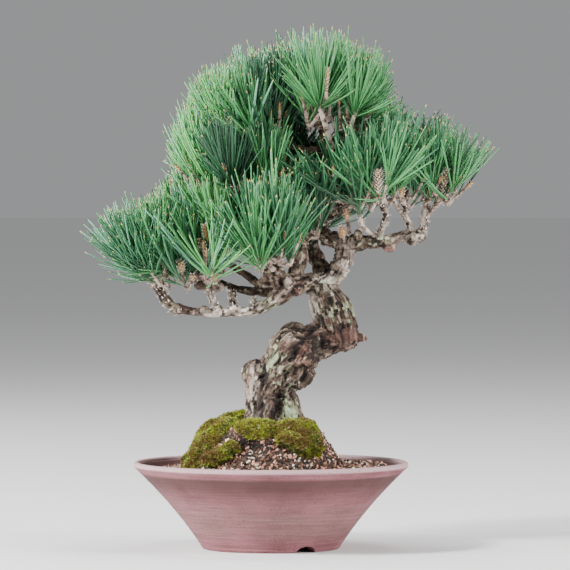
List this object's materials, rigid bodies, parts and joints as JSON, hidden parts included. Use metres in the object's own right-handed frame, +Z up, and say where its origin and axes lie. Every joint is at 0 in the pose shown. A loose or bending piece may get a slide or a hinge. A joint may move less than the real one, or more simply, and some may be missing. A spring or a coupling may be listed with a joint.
{
  "type": "black pine bonsai in a pot",
  "caption": "Small black pine bonsai with a leaning, twisted trunk, pads of upright needle tufts and moss over gritty soil, in a flared round unglazed pot.",
  "frame": {"origin": "on the ground under the middle of the plant's bounding box", "axes": "+Z up; +X to the right and -Y to the viewer when the trunk leans right and the long low bough reaches left"},
  "size_m": [0.2856, 0.1928, 0.3587],
  "materials": {
    "clay": "unglazed pink terracotta",
    "soil": "mixed grit",
    "moss": "short green moss",
    "bark": "rough plated bark",
    "needles": "green needles, slightly waxy"
  },
  "bodies": {
    "root": {"pot": "clay", "soil": "soil", "trunk": "bark", "moss_left": "moss", "moss_left_back": "moss", "moss_front": "moss", "moss_right": "moss", "moss_back": "moss", "bough_left": "bark", "bough_left_end": "bark", "bough_left_upper": "bark", "bough_left_rising": "bark", "spur_left": "bark", "link_left": "bark", "stub_left": "bark", "bough_front": "bark", "bough_centre": "bark", "bough_back": "bark", "bough_right": "bark", "spur_right_end": "bark", "spur_right_mid": "bark", "spur_right_front": "bark", "bough_right_inner": "bark", "bough_mid_left": "bark", "bough_mid_inner": "bark", "bough_upper_left": "bark", "bough_upper_inner": "bark", "bough_apex_right": "bark", "bough_back_right": "bark", "bough_back_mid": "bark", "bough_back_left": "bark", "bough_back_top": "bark", "needles_left_end": "needles", "needles_left_front": "needles", "needles_left_back": "needles", "needles_left_mid": "needles", "needles_front": "needles", "needles_centre": "needles", "needles_mid_left": "needles", "needles_mid_inner": "needles", "needles_upper_left": "needles", "needles_upper_inner": "needles", "needles_apex": "needles", "needles_apex_right": "needles", "needles_right_end": "needles", "needles_right_mid": "needles", "needles_right_front": "needles", "needles_right_inner": "needles", "needles_back_right": "needles", "needles_back_left": "needles", "needles_back_top": "needles", "needles_back_mid": "needles", "needles_back_low": "needles"}
  },
  "joints": []
}
